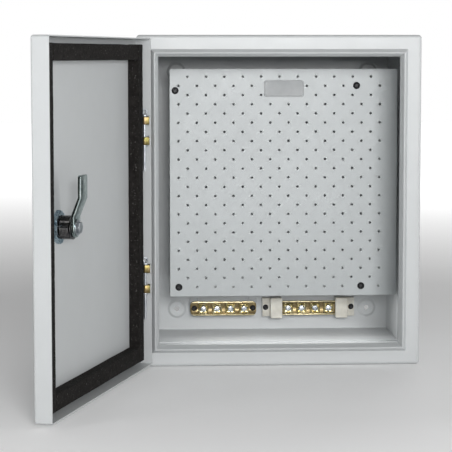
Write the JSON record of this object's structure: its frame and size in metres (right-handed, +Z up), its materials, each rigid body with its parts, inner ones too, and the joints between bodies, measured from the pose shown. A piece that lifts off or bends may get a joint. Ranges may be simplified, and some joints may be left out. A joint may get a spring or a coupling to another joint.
{
  "type": "switchboard cabinet",
  "caption": "Wall-mounting steel switchboard cabinet with a perforated mounting plate, earth and neutral bars, gasketed hinged door, lift-out hinge pins and cam lock.",
  "frame": {"origin": "centre of the outer face of the back wall", "axes": "+X to the right of a person facing the cabinet, +Y from the door towards the wall, +Z up"},
  "size_m": [0.3904, 0.5046, 0.35],
  "materials": {
    "cabinet_paint": "fine textured powder coat",
    "plate_paint": "satin powder coat",
    "white_zinc": "bright zinc plate",
    "yellow_zinc": "yellow passivated zinc",
    "black_steel": "black oxide",
    "brass": "plain drawn brass",
    "insulator_plastic": "milky polyamide",
    "foam_rubber": "cellular foam",
    "label_plastic": "satin",
    "lock_chrome": "polished plating"
  },
  "bodies": {
    "cabinet": {"front_frame": "cabinet_paint", "rear_pan": "cabinet_paint", "mounting_plate": "plate_paint", "plate_posts": "white_zinc", "plate_screws": "black_steel", "name_plate": "label_plastic", "earth_bar": "brass", "earth_clamps": "brass", "earth_clamp_screws": "white_zinc", "earth_standoffs": "white_zinc", "earth_fixing_screws": "black_steel", "neutral_bar": "brass", "neutral_clamps": "brass", "neutral_clamp_screws": "white_zinc", "neutral_insulator_left": "insulator_plastic", "neutral_insulator_right": "insulator_plastic", "neutral_fixing_screws": "black_steel", "upper_hinge_leaf": "yellow_zinc", "lower_hinge_leaf": "yellow_zinc"},
    "door": {"door_shell": "cabinet_paint", "gasket_top": "foam_rubber", "gasket_bottom": "foam_rubber", "gasket_hinge_side": "foam_rubber", "gasket_lock_side": "foam_rubber", "upper_hinge_bracket": "white_zinc", "lower_hinge_bracket": "white_zinc", "lock_housing": "lock_chrome", "lock_seal": "foam_rubber", "lock_nut": "white_zinc"},
    "lock_cam": {"lock_core": "lock_chrome", "cam_lever": "lock_chrome", "cam_washer": "white_zinc", "cam_bolt": "white_zinc"},
    "upper_hinge_pin": {"upper_hinge_pin": "white_zinc"},
    "lower_hinge_pin": {"lower_hinge_pin": "white_zinc"}
  },
  "joints": [
    {"name": "door_hinge", "type": "hinge", "parent": "cabinet", "child": "door", "pos_m": [-0.1418, -0.2283, 0], "axis": [0, 0, -1], "range_deg": [-107.8, 5]},
    {"name": "cam_turn", "type": "hinge", "parent": "door", "child": "lock_cam", "pos_m": [-0.22334, -0.444, -0.002], "axis": [0.9521, -0.3057, 0], "range_deg": [0, 90]},
    {"name": "upper_pin_slide", "type": "slide", "parent": "cabinet", "child": "upper_hinge_pin", "axis": [0, 0, 1], "range_m": [0, 0.06]},
    {"name": "lower_pin_slide", "type": "slide", "parent": "cabinet", "child": "lower_hinge_pin", "axis": [0, 0, 1], "range_m": [0, 0.06]}
  ]
}
